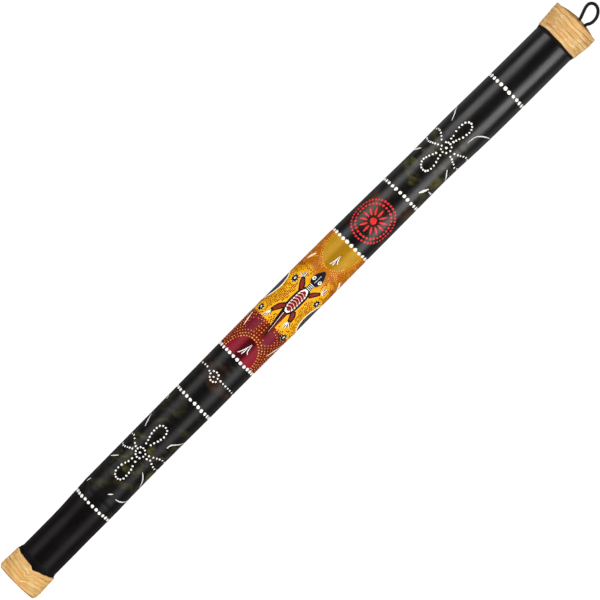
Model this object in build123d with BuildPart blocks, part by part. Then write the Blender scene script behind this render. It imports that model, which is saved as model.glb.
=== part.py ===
from build123d import *
import os
import random
from math import sin, cos, tan, pi, radians, degrees, sqrt

# Rainstick: one bamboo culm, capped at both ends, pinned inside along a spiral
# and part filled with seeds.  All lengths are millimetres.
#
# Frame: +Z runs up the stick from the flat bottom cap to the domed top cap, the
# origin is the centre of the bottom cap's flat face, and the painted front of
# the stick faces -Y.

# ---------------------------------------------------------------- dimensions
LENGTH = 1000.0            # flat bottom face to the crown of the top cap
WALL = 4.6                 # culm wall
CAP_FLANGE = 3.0           # thickness of the cap rims outside the culm
CAP_SPIGOT = 10.0          # depth of the caps inside the bore
DOME = 6.0                 # height of the top cap's dome
FIT = 0.03                 # glue gap between turned and wound pieces

TUBE_Z0 = CAP_FLANGE
TUBE_Z1 = LENGTH - DOME - CAP_FLANGE          # 991
END_Z0, END_Z1 = 48.0, 950.0                  # the straight ends stop here
R_BOTTOM, R_TOP = 27.4, 29.3                  # culm radius at the two ends

# height, sideways drift of the centre (+X), outer radius
CULM = [
    (48.0, 0.0, 27.4), (72.0, -0.05, 27.4), (103.0, -0.40, 27.45), (131.0, -1.14, 28.2),
    (156.0, -1.80, 28.7), (179.0, -2.20, 28.5), (229.0, -2.50, 28.35), (279.0, -2.70, 28.5),
    (329.0, -2.90, 28.9), (380.0, -3.10, 29.1), (455.0, -3.25, 29.6), (505.0, -3.28, 29.6),
    (555.0, -3.25, 29.4), (605.0, -3.15, 29.1), (656.0, -2.95, 28.7), (693.0, -2.70, 28.3),
    (728.0, -2.50, 27.95), (756.0, -2.30, 28.3), (776.0, -1.95, 28.9), (800.0, -1.45, 29.4),
    (831.0, -1.00, 29.45), (882.0, -0.37, 29.3), (919.0, -0.10, 29.3), (950.0, 0.0, 29.3),
]
NODE_Z = [150.0, 463.0, 776.0]   # the culm's joints, each with the stub of its wall inside
WEB = 5.0                        # thickness of that stub
LEDGE = 1.8                      # how far it stands into the bore

PIN_AXIS_X = -1.65               # the pins point at this straight line
PIN_R = 1.25
PIN_TIP_R = 3.6                  # the tips stop short of the centre
PIN_STEP = 45.0                  # degrees from one pin to the next
PIN_PITCH = 9.6                  # height from one pin to the next
PIN_Z0, PIN_N = 84.0, 90
PIN_SINK = 0.45                  # pin heads are cut off below the skin and filled over

# hanging cord
CORD_D = 3.4
HINGE_Y, HINGE_Z = -24.4, 998.6  # line about which the loop flops
LEG_X = (1.6, 11.4)
LEG_FOOT_Y, LEG_FOOT_Z = -11.0, 978.5


def lerp_culm(z):
    """Centre drift and outer radius of the culm at height z."""
    if z <= CULM[0][0]:
        return CULM[0][1], CULM[0][2]
    if z >= CULM[-1][0]:
        return CULM[-1][1], CULM[-1][2]
    for (z0, x0, r0), (z1, x1, r1) in zip(CULM, CULM[1:]):
        if z0 <= z <= z1:
            f = (z - z0) / (z1 - z0)
            return x0 + f * (x1 - x0), r0 + f * (r1 - r0)


def skin_distance(z, angle):
    """Distance from the pin axis to the culm's outer surface, at height z."""
    x, r = lerp_culm(z)
    dx = x - PIN_AXIS_X
    return dx * cos(angle) + sqrt(r * r - (dx * sin(angle)) ** 2)


# ---------------------------------------------------------------- bamboo culm
pin_places = []
for i in range(PIN_N):
    z = PIN_Z0 + PIN_PITCH * i
    a = radians(PIN_STEP * i)
    if min(abs(z - n) for n in NODE_Z) < 4.4:      # step over the thick joint
        z += 2.6 if z >= min(NODE_Z, key=lambda n: abs(z - n)) else -2.6
    pin_places.append((z, a, skin_distance(z, a)))


def pin_plane(z, a, r):
    return Plane(
        origin=(PIN_AXIS_X + r * cos(a), r * sin(a), z),
        x_dir=(0, 0, 1),
        z_dir=(cos(a), sin(a), 0),
    )


bays = [TUBE_Z0 + 0.0] + NODE_Z + [TUBE_Z1]
with BuildPart() as tube:
    # outside: straight ends, gently bowed and swelling in between
    for z, x, r in CULM:
        with BuildSketch(Plane.XY.offset(z)):
            with Locations((x, 0)):
                Circle(r)
    loft()
    with BuildSketch(Plane.XY.offset(TUBE_Z0)):
        Circle(R_BOTTOM)
    extrude(amount=END_Z0 - TUBE_Z0)
    with BuildSketch(Plane.XY.offset(END_Z1)):
        Circle(R_TOP)
    extrude(amount=TUBE_Z1 - END_Z1)
    # straight bore at the two ends
    with BuildSketch(Plane.XY.offset(TUBE_Z0)):
        Circle(R_BOTTOM - WALL)
    extrude(amount=END_Z0 - TUBE_Z0, mode=Mode.SUBTRACT)
    with BuildSketch(Plane.XY.offset(END_Z1)):
        Circle(R_TOP - WALL)
    extrude(amount=TUBE_Z1 - END_Z1, mode=Mode.SUBTRACT)
    # the chambers between the joints
    stops = [END_Z0] + NODE_Z + [END_Z1]
    for n, (low, high) in enumerate(zip(stops, stops[1:])):
        a = low if n == 0 else low + WEB / 2
        b = high if n == len(stops) - 2 else high - WEB / 2
        zs = [a] + [z for z, _, _ in CULM if a + 6 < z < b - 6] + [b]
        for z in zs:
            x, r = lerp_culm(z)
            with BuildSketch(Plane.XY.offset(z)):
                with Locations((x, 0)):
                    Circle(r - WALL)
        loft(mode=Mode.SUBTRACT)
    # the joints' own walls, bored out to a ledge
    for z in NODE_Z:
        x, r = lerp_culm(z)
        with BuildSketch(Plane.XY.offset(z - WEB)):
            with Locations((x, 0)):
                Circle(r - WALL - LEDGE)
        extrude(amount=2 * WEB, mode=Mode.SUBTRACT)
    # one drilled hole for each pin
    with Locations(*[pin_plane(z, a, 17.0) for z, a, _ in pin_places]):
        Cylinder(PIN_R + FIT, 16.0, align=(Align.CENTER, Align.CENTER, Align.MIN), mode=Mode.SUBTRACT)
tube.part.label = "bamboo_tube"

# ---------------------------------------------------------------- spiral pins
pin_groups = {}
for z, a, d in pin_places:
    bay = sum(z > n for n in NODE_Z)
    pin_groups.setdefault(bay, []).append((z, a, d))

pin_parts = []
for bay in sorted(pin_groups):
    with BuildPart() as pins:
        for z, a, d in pin_groups[bay]:
            body_r0 = PIN_TIP_R + 3.0
            with Locations(pin_plane(z, a, body_r0)):
                Cylinder(PIN_R, d - PIN_SINK - body_r0, align=(Align.CENTER, Align.CENTER, Align.MIN))
            with Locations(pin_plane(z, a, PIN_TIP_R)):
                Cone(0.45, PIN_R, 3.0, align=(Align.CENTER, Align.CENTER, Align.MIN))
    pins.part.label = f"spiral_pins_{bay + 1}"
    pin_parts.append(pins.part)

# ---------------------------------------------------------------- end caps
with BuildPart() as cap_bottom:
    with BuildSketch(Plane.XY):
        Circle(R_BOTTOM)
    extrude(amount=CAP_FLANGE)
    with BuildSketch(Plane.XY.offset(CAP_FLANGE)):
        Circle(R_BOTTOM - WALL - FIT)
    extrude(amount=CAP_SPIGOT)
    chamfer(cap_bottom.edges().filter_by(GeomType.CIRCLE).group_by(Axis.Z)[-1], 0.8)
    fillet(cap_bottom.edges().filter_by(GeomType.CIRCLE).group_by(Axis.Z)[0], 0.6)
cap_bottom.part.label = "end_cap_bottom"

TOP_FLANGE_R = 31.4
DOME_R = (TOP_FLANGE_R ** 2 + DOME ** 2) / (2 * DOME)
leg_dir = Vector(0, HINGE_Y - LEG_FOOT_Y, HINGE_Z - LEG_FOOT_Z).normalized()
with BuildPart() as cap_top:
    with BuildSketch(Plane.XZ) as profile:
        with BuildLine():
            Line((0, TUBE_Z1 - CAP_SPIGOT), (R_TOP - WALL - FIT, TUBE_Z1 - CAP_SPIGOT))
            Line((R_TOP - WALL - FIT, TUBE_Z1 - CAP_SPIGOT), (R_TOP - WALL - FIT, TUBE_Z1))
            Line((R_TOP - WALL - FIT, TUBE_Z1), (TOP_FLANGE_R, TUBE_Z1))
            Line((TOP_FLANGE_R, TUBE_Z1), (TOP_FLANGE_R, LENGTH - DOME))
            half = TOP_FLANGE_R / 2
            ThreePointArc(
                (TOP_FLANGE_R, LENGTH - DOME),
                (half, LENGTH - DOME_R + sqrt(DOME_R ** 2 - half ** 2)),
                (0, LENGTH),
            )
            Line((0, LENGTH), (0, TUBE_Z1 - CAP_SPIGOT))
        make_face()
    revolve(axis=Axis.Z)
    # two slanting holes for the cord, a little wider than it
    with Locations(*[
        Plane(origin=Vector(x, HINGE_Y, HINGE_Z) - leg_dir * 30.0, x_dir=(1, 0, 0), z_dir=leg_dir) for x in LEG_X
    ]):
        Cylinder(CORD_D / 2 + 0.10, 40.0, align=(Align.CENTER, Align.CENTER, Align.MIN), mode=Mode.SUBTRACT)
cap_top.part.label = "end_cap_top"

# ---------------------------------------------------------------- bindings
# a cloth band glued round each end, then a flat rattan strip wound over it,
# drawn as one hoop for each turn
STRIP_W, STRIP_T = 5.2, 1.7
STRIP_PITCH = 5.45

BAND_B_R, BAND_B_TOP = 28.75, 39.5
with BuildPart() as band_bottom:
    with BuildSketch(Plane.XZ):
        with BuildLine():
            Polyline(
                (R_BOTTOM + FIT, 3.2), (BAND_B_R, 3.2), (BAND_B_R, BAND_B_TOP - 2.5),
                (R_BOTTOM + 0.55, BAND_B_TOP), (R_BOTTOM + FIT, BAND_B_TOP), (R_BOTTOM + FIT, 3.2),
            )
        make_face()
    revolve(axis=Axis.Z)
band_bottom.part.label = "cloth_band_bottom"

BAND_T_LOW, BAND_T_HIGH, BAND_T_Z0 = 30.1, 31.35, 955.5
with BuildPart() as band_top:
    with BuildSketch(Plane.XZ):
        with BuildLine():
            Polyline(
                (R_TOP + FIT, BAND_T_Z0), (R_TOP + 0.45, BAND_T_Z0), (BAND_T_LOW, BAND_T_Z0 + 2.5),
                (BAND_T_HIGH, TUBE_Z1 - 0.1), (R_TOP + FIT, TUBE_Z1 - 0.1), (R_TOP + FIT, BAND_T_Z0),
            )
        make_face()
    revolve(axis=Axis.Z)
band_top.part.label = "cloth_band_top"


def turns(name, z0, radii, worn_end):
    """One hoop of half-round rattan for each turn: flat inside, crowned outside."""
    with BuildPart() as strip:
        for i, r in enumerate(radii):
            low = z0 + i * STRIP_PITCH
            mid, high = low + STRIP_W / 2, low + STRIP_W
            # the outermost turn is rounded over towards the end of the stick
            r_low = r + STRIP_T * (0.3 if worn_end == "low" and i == 0 else 0.72)
            r_high = r + STRIP_T * (0.3 if worn_end == "high" and i == len(radii) - 1 else 0.72)
            with BuildSketch(Plane.XZ):
                with BuildLine():
                    Polyline((r_low, low), (r, low), (r, high), (r_high, high))
                    ThreePointArc((r_high, high), (r + STRIP_T, mid), (r_low, low))
                make_face()
            revolve(axis=Axis.Z)
    strip.part.label = name
    return strip.part


TURNS = 6
strip_bottom = turns("rattan_strip_bottom", 0.9, [BAND_B_R + FIT] * TURNS, "low")
TOP_STRIP_Z0 = 993.7 - (TURNS - 1) * STRIP_PITCH - STRIP_W
top_radii = []
for i in range(TURNS):
    high = min(TOP_STRIP_Z0 + i * STRIP_PITCH + STRIP_W, TUBE_Z1 - 0.1)
    f = (high - BAND_T_Z0 - 2.5) / (TUBE_Z1 - 0.1 - BAND_T_Z0 - 2.5)
    top_radii.append(BAND_T_LOW + f * (BAND_T_HIGH - BAND_T_LOW) + FIT)
top_radii[-1] = TOP_FLANGE_R + FIT
strip_top = turns("rattan_strip_top", TOP_STRIP_Z0, top_radii, "high")

# ---------------------------------------------------------------- hanging cord
# Each leg comes up through the top cap; the loop above it is one cord, bent in
# straight runs and tangent arcs.
foot = [Vector(x, LEG_FOOT_Y, LEG_FOOT_Z) for x in LEG_X]
knee = [Vector(x, HINGE_Y, HINGE_Z) for x in LEG_X]
LEG_GAP = 0.60                   # clear of the loop's rounded foot
LEG_TAPER = 0.95                 # the leg's end is tapered, so the loop clears it when it lies back
with BuildPart() as legs:
    for f, k in zip(foot, knee):
        straight = (k - f).length - CORD_D / 2 - LEG_GAP - LEG_TAPER
        with Locations(Plane(origin=f, x_dir=(1, 0, 0), z_dir=leg_dir)):
            Cylinder(CORD_D / 2, straight, align=(Align.CENTER, Align.CENTER, Align.MIN))
        with Locations(Plane(origin=f + leg_dir * straight, x_dir=(1, 0, 0), z_dir=leg_dir)):
            Cone(
                CORD_D / 2, CORD_D / 2 - LEG_TAPER, LEG_TAPER,
                align=(Align.CENTER, Align.CENTER, Align.MIN),
            )
legs.part.label = "hanging_cord_legs"

# a stopper knot under the cap at the end of each leg: a small barrel
KNOT_H, KNOT_W, KNOT_D = 8.6, 3.9, 3.6
with BuildPart() as knots:
    for x in LEG_X:
        knot_top = Plane(origin=(x, LEG_FOOT_Y, LEG_FOOT_Z), x_dir=(1, 0, 0), z_dir=leg_dir)
        for depth, k in ((0.0, 0.80), (2.4, 1.0), (6.0, 0.95), (KNOT_H, 0.55)):
            with BuildSketch(knot_top.offset(-depth)):
                Ellipse(KNOT_W * k, KNOT_D * k)
        loft()
knots.part.label = "hanging_cord_knots"

# the loop, seen from the front: (x, z)
LOOP = [
    (1.6, 998.6), (-0.8, 1003.6), (-3.3, 1009.2), (-5.3, 1014.6), (-5.6, 1019.8), (-2.6, 1024.2), (2.9, 1026.0),
    (8.4, 1024.6), (12.6, 1020.9), (15.0, 1015.6), (15.5, 1009.6), (14.2, 1003.8), (11.4, 998.6),
]
loop_pts = [Vector(x, HINGE_Y, z) for x, z in LOOP]
radii = []
for a, b, c in zip(loop_pts, loop_pts[1:], loop_pts[2:]):
    turn = radians((b - a).get_angle(c - b))
    run = min((b - a).length, (c - b).length)
    radii.append(round(0.45 * run / tan(turn / 2), 2))
print("loop radii", radii, "tightest", round(min(radii) / CORD_D, 2), "diameters")
with BuildPart() as loop:
    with BuildLine() as loop_path:
        FilletPolyline(*loop_pts, radius=radii)
    with BuildSketch(Plane(origin=loop_path.line @ 0, z_dir=loop_path.line % 0)):
        Circle(CORD_D / 2)
    sweep()
    # rounded feet, centred on the line the loop flops about
    for end, outward in (
        (loop_path.line @ 0, (loop_path.line % 0) * -1),
        (loop_path.line @ 1, loop_path.line % 1),
    ):
        with Locations(Plane(origin=end, x_dir=(0, 1, 0), z_dir=outward)):
            Sphere(
                CORD_D / 2, arc_size1=0, arc_size2=90,
                align=(Align.CENTER, Align.CENTER, Align.MIN),
            )
loop.part.label = "hanging_loop"
loop_len = sum(e.length for e in loop_path.line.edges())
print("loop length", round(loop_len, 1), "volume", round(loop.part.volume, 1),
      "section x length", round(pi * CORD_D ** 2 / 4 * loop_len + 4 / 3 * pi * (CORD_D / 2) ** 3, 1))
print("leg length each", round((knee[0] - foot[0]).length, 1))

# ---------------------------------------------------------------- fill
# Seeds lie in the eight straight lanes between the rows of pins, on the bottom
# cap.  Opposite lanes form one group, and each group runs the length of the stick.
random.seed(11)
LANE_R = 17.7
KERNEL_R = 2.35
SEED_R = 1.8
FLOOR_Z = CAP_FLANGE + CAP_SPIGOT

fill_parts = []
for g in range(4):
    kernel_places, seed_places = [], []
    for lane in (g, g + 4):
        mid = radians(22.5 + 45.0 * lane)
        for layer in range(9):
            z = FLOOR_Z + KERNEL_R + 0.45 + layer * (2 * KERNEL_R + 0.45) + random.uniform(0, 0.3)
            for side in (-1, 1):
                u = LANE_R + random.uniform(-0.25, 0.15)
                v = side * (2.62 + random.uniform(0, 0.12))
                zz = z + (KERNEL_R * 0.7 if side > 0 else 0.0)
                kernel_places.append(Location(
                    (PIN_AXIS_X + u * cos(mid) - v * sin(mid), u * sin(mid) + v * cos(mid), zz)
                ))
        for layer in range(11):
            z = FLOOR_Z + SEED_R + 0.35 + layer * (2 * SEED_R + 0.55) + random.uniform(0, 0.3)
            u = 11.9 + random.uniform(-0.1, 0.35)
            v = random.uniform(-0.15, 0.15)
            seed_places.append(Location(
                (PIN_AXIS_X + u * cos(mid) - v * sin(mid), u * sin(mid) + v * cos(mid), z)
            ))
    with BuildPart() as kernels:
        with Locations(*kernel_places):
            Sphere(KERNEL_R)
    kernels.part.label = f"kernels_{g + 1}"
    with BuildPart() as seeds:
        with Locations(*seed_places):
            Sphere(SEED_R)
    seeds.part.label = f"seeds_{g + 1}"
    fill_parts += [kernels.part, seeds.part]

# ---------------------------------------------------------------- export
os.makedirs("parts", exist_ok=True)
everything = [
    tube.part, cap_bottom.part, cap_top.part, band_bottom.part, band_top.part,
    strip_bottom, strip_top, legs.part, knots.part, loop.part,
] + pin_parts + fill_parts
for p in everything:
    export_step(p, f"parts/{p.label}.step")
    b = p.bounding_box()
    print(f"{p.label:22s} solids {len(p.solids()):3d}  vol {p.volume:10.1f}  "
          f"z {b.min.Z:7.1f} {b.max.Z:7.1f}  x {b.min.X:6.1f} {b.max.X:6.1f}  y {b.min.Y:6.1f} {b.max.Y:6.1f}")
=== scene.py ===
import math
import random

import bpy
import numpy as np
from mathutils import Matrix, Vector


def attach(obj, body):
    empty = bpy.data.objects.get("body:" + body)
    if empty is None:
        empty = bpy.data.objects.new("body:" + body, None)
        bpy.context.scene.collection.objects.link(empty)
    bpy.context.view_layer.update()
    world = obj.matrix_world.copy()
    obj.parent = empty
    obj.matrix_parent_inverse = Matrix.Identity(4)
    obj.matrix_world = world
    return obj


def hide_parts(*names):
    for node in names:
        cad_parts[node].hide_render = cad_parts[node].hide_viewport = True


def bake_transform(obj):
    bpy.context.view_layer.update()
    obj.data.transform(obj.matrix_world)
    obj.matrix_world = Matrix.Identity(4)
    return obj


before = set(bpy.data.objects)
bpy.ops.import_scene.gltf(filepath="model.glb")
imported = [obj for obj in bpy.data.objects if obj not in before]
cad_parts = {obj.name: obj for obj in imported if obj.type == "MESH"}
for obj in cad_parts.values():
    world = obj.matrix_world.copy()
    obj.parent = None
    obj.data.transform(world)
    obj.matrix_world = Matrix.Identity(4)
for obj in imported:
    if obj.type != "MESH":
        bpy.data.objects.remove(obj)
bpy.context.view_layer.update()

scene = bpy.context.scene
R0 = random.Random(7)
PI = math.pi

# ------------------------------------------------------------------ camera
# It looks level along +Y, rolled so that the stick runs from lower left to
# upper right.
TILT = math.radians(45.08)
CAM_AT = Vector((0.00158, -6.5, 0.5024))
WIDTH_AT_STICK = 0.7533
up = Vector((-math.cos(TILT), 0, math.sin(TILT)))
right = Vector((math.sin(TILT), 0, math.cos(TILT)))
back = right.cross(up)
cam_data = bpy.data.cameras.new("camera")
cam_data.sensor_width = 36.0
cam_data.lens = 36.0 * 6.5 / WIDTH_AT_STICK
cam_data.clip_end = 100
cam = bpy.data.objects.new("camera", cam_data)
scene.collection.objects.link(cam)
cam.matrix_world = Matrix(
    (
        (right.x, up.x, back.x, CAM_AT.x),
        (right.y, up.y, back.y, CAM_AT.y),
        (right.z, up.z, back.z, CAM_AT.z),
        (0, 0, 0, 1),
    )
)
scene.camera = cam

# ------------------------------------------------------------------ node helper


class Nodes:
    """Short names for building one material's node tree."""

    def __init__(self, name):
        self.mat = bpy.data.materials.new(name)
        self.mat.use_nodes = True
        self.t = self.mat.node_tree
        self.bsdf = self.t.nodes["Principled BSDF"]

    def n(self, kind, **props):
        node = self.t.nodes.new(kind)
        for k, v in props.items():
            setattr(node, k, v)
        return node

    def link(self, a, b):
        if hasattr(a, "is_output"):
            self.t.links.new(a, b)
        else:
            b.default_value = a

    def m(self, op, a, b=0.0, c=0.0, clamp=False):
        node = self.n("ShaderNodeMath", operation=op, use_clamp=clamp)
        for s, v in zip(node.inputs, (a, b, c)):
            self.link(v, s)
        return node.outputs[0]

    def coords(self):
        return self.n("ShaderNodeTexCoord").outputs["Object"]

    def scaled(self, vec, scale, rot=(0, 0, 0), loc=(0, 0, 0)):
        node = self.n("ShaderNodeMapping")
        self.link(vec, node.inputs["Vector"])
        node.inputs["Scale"].default_value = scale
        node.inputs["Rotation"].default_value = rot
        node.inputs["Location"].default_value = loc
        return node.outputs[0]

    def noise(self, vec, scale=1.0, detail=3.0, rough=0.55, distort=0.0):
        node = self.n("ShaderNodeTexNoise")
        self.link(vec, node.inputs["Vector"])
        node.inputs["Scale"].default_value = scale
        node.inputs["Detail"].default_value = detail
        node.inputs["Roughness"].default_value = rough
        node.inputs["Distortion"].default_value = distort
        return node.outputs["Fac"]

    def step(self, v, a, b, lo=0.0, hi=1.0, smooth=True):
        node = self.n("ShaderNodeMapRange")
        node.interpolation_type = "SMOOTHSTEP" if smooth else "LINEAR"
        self.link(v, node.inputs["Value"])
        for k, x in zip(("From Min", "From Max", "To Min", "To Max"), (a, b, lo, hi)):
            node.inputs[k].default_value = x
        return node.outputs[0]

    def mix(self, f, a, b, mode="MIX"):
        node = self.n("ShaderNodeMix", data_type="RGBA", blend_type=mode)
        self.link(f, node.inputs[0])
        for s, v in ((node.inputs[6], a), (node.inputs[7], b)):
            self.link(v if hasattr(v, "is_output") else (*v, 1.0), s)
        return node.outputs[2]

    def bump(self, height, strength, distance, normal=None):
        node = self.n("ShaderNodeBump")
        self.link(height, node.inputs["Height"])
        node.inputs["Strength"].default_value = strength
        node.inputs["Distance"].default_value = distance
        if normal is not None:
            self.link(normal, node.inputs["Normal"])
        return node.outputs[0]

    def out(self, color=None, rough=None, normal=None, **fixed):
        for key, v in (("Base Color", color), ("Roughness", rough), ("Normal", normal)):
            if v is not None:
                if key == "Base Color" and not hasattr(v, "is_output"):
                    v = (*v, 1.0)
                self.link(v, self.bsdf.inputs[key])
        for k, v in fixed.items():
            self.bsdf.inputs[k.replace("_", " ")].default_value = v
        return self.mat


# ------------------------------------------------------------------ the culm's surface
# height, sideways drift, outer radius (mm), as in the CAD model
CULM = np.array([
    (3, 0, 27.4), (25, 0, 27.4), (48, 0.0, 27.4), (72, -0.05, 27.4), (103, -0.40, 27.45), (131, -1.14, 28.2),
    (156, -1.80, 28.7), (179, -2.20, 28.5), (229, -2.50, 28.35), (279, -2.70, 28.5),
    (329, -2.90, 28.9), (380, -3.10, 29.1), (455, -3.25, 29.6), (505, -3.28, 29.6),
    (555, -3.25, 29.4), (605, -3.15, 29.1), (656, -2.95, 28.7), (693, -2.70, 28.3),
    (728, -2.50, 27.95), (756, -2.30, 28.3), (776, -1.95, 28.9), (800, -1.45, 29.4),
    (831, -1.00, 29.45), (882, -0.37, 29.3), (919, -0.10, 29.3), (950, 0.0, 29.3), (970, 0, 29.3), (991, 0, 29.3),
])
NODE_Z = (150.0, 463.0, 776.0)


def hermite(zq, zs, vs):
    """Smooth curve through the stations with slopes from the neighbours."""
    zq = np.asarray(zq, float)
    slope = np.zeros(len(zs))
    slope[1:-1] = (vs[2:] - vs[:-2]) / (zs[2:] - zs[:-2])
    i = np.clip(np.searchsorted(zs, zq) - 1, 0, len(zs) - 2)
    h = zs[i + 1] - zs[i]
    t = np.clip((zq - zs[i]) / h, 0, 1)
    return (
        (2 * t**3 - 3 * t**2 + 1) * vs[i] + (t**3 - 2 * t**2 + t) * h * slope[i]
        + (-2 * t**3 + 3 * t**2) * vs[i + 1] + (t**3 - t**2) * h * slope[i + 1]
    )


WAVES = [
    (R0.uniform(0.010, 0.055), R0.choice((1, 2, 2, 3, 4, 5)), R0.uniform(0, 6.28), R0.uniform(0, 6.28))
    for _ in range(14)
]


def skin(z, phi, h=0.0):
    """Points on the culm, mm in and metres out. phi 0 faces -Y and grows towards +X."""
    z, phi, h = np.broadcast_arrays(np.asarray(z, float), np.asarray(phi, float), np.asarray(h, float))
    r = hermite(z, CULM[:, 0], CULM[:, 2])
    x = hermite(z, CULM[:, 0], CULM[:, 1])
    wob = sum(0.035 * np.sin(k * z + p) * np.cos(m * phi + q) for k, m, p, q in WAVES)
    for nz in NODE_Z:  # sanded-down rings at the culm's joints
        wob = wob + 0.16 * np.exp(-(((z - nz - 3.0) / 3.2) ** 2)) - 0.13 * np.exp(-(((z - nz + 2.2) / 1.7) ** 2))
    r = r + wob * np.clip((z - 40) / 20, 0, 1) * np.clip((955 - z) / 20, 0, 1) + h
    return np.stack([x + r * np.sin(phi), -r * np.cos(phi), z], -1) * 0.001


def radius_at(z):
    return float(hermite(z, CULM[:, 0], CULM[:, 2]))


def drift_at(z):
    return float(hermite(z, CULM[:, 0], CULM[:, 1]))


def front(z, x):
    """(z, phi) of a point that seen from the front is at height z and x mm right of the axis."""
    s = (x - drift_at(z)) / radius_at(z)
    return z, math.asin(max(-0.999, min(0.999, s)))


def add_mesh(name, verts, faces, mat, body="stick", smooth=True, replaces=()):
    me = bpy.data.meshes.new(name)
    me.from_pydata([tuple(v) for v in verts], [], faces)
    me.validate()
    if smooth:
        me.polygons.foreach_set("use_smooth", [True] * len(me.polygons))
    ob = bpy.data.objects.new(name, me)
    scene.collection.objects.link(ob)
    me.materials.append(mat)
    if body:
        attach(ob, body)
    if replaces:
        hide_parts(*replaces)
    return ob


def grid_faces(nu, nv, wrap, base=0, flip=False):
    """Quads of a grid of nu rows, nv columns, wrapping round in v."""
    out = []
    for i in range(nu - 1):
        for j in range(nv if wrap else nv - 1):
            k = (j + 1) % nv
            q = (base + i * nv + j, base + i * nv + k, base + (i + 1) * nv + k, base + (i + 1) * nv + j)
            out.append(q[::-1] if flip else q)
    return out


# ------------------------------------------------------------------ materials
MID = -0.0030  # the middle panel's axis


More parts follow.
